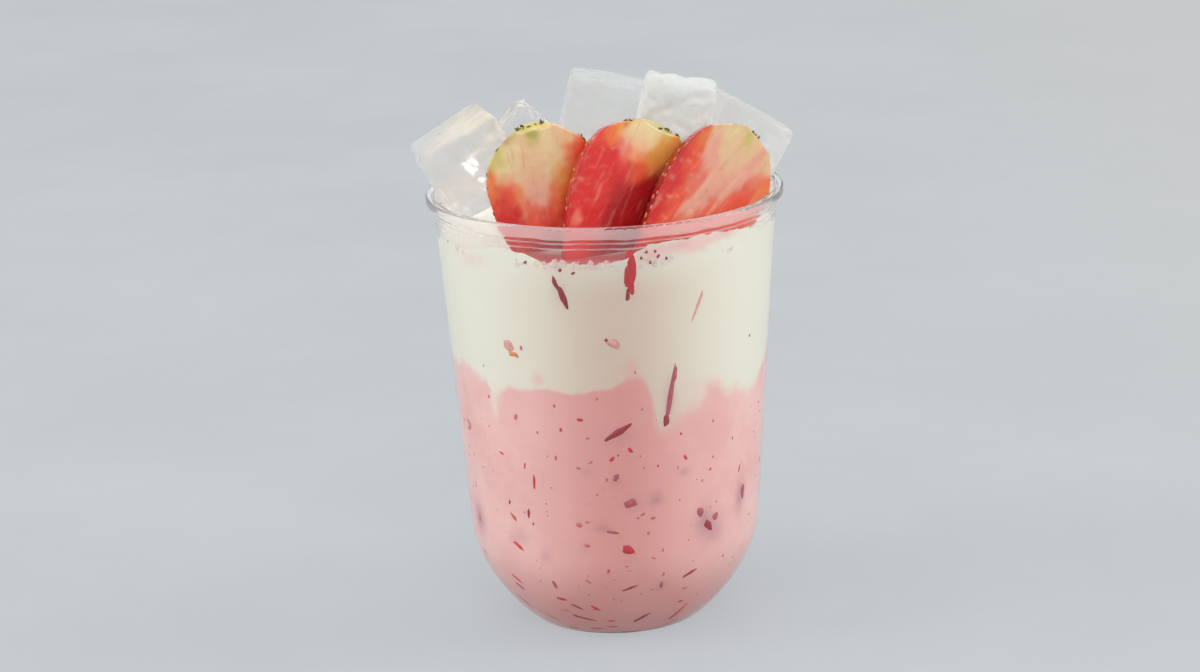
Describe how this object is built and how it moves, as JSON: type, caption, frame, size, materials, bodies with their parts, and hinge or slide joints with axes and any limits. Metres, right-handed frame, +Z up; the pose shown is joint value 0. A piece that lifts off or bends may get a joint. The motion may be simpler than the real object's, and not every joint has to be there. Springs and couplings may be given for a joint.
{
  "type": "strawberry milk in a clear cup",
  "caption": "Strawberry milk in a clear rounded plastic cup: pink layer under white milk, strawberry slices fanned at the front and ice piled behind",
  "frame": {"origin": "centre of the cup's foot ring, on the plane that the cup stands on", "axes": "+Z up along the cup's axis, the strawberry slices stand at the -Y side, +X to the right seen from the slices' side"},
  "size_m": [0.1018, 0.095, 0.1507],
  "materials": {
    "clear_cup": "gloss",
    "strawberry_milk": "smooth liquid",
    "white_milk": "smooth liquid",
    "strawberry": "wet cut fruit",
    "clear_ice": "wet, clear",
    "frosted_ice": "frosted"
  },
  "bodies": {
    "root": {"cup": "clear_cup", "strawberry_milk": "strawberry_milk", "milk": "white_milk", "strawberry_slice_left": "strawberry", "strawberry_slice_middle": "strawberry", "strawberry_slice_right": "strawberry", "ice_under_left": "clear_ice", "ice_under_right": "clear_ice", "ice_under_back": "clear_ice", "ice_left": "clear_ice", "ice_right": "clear_ice", "ice_on_edge": "clear_ice", "ice_middle": "clear_ice", "ice_frosted": "frosted_ice"}
  },
  "joints": []
}
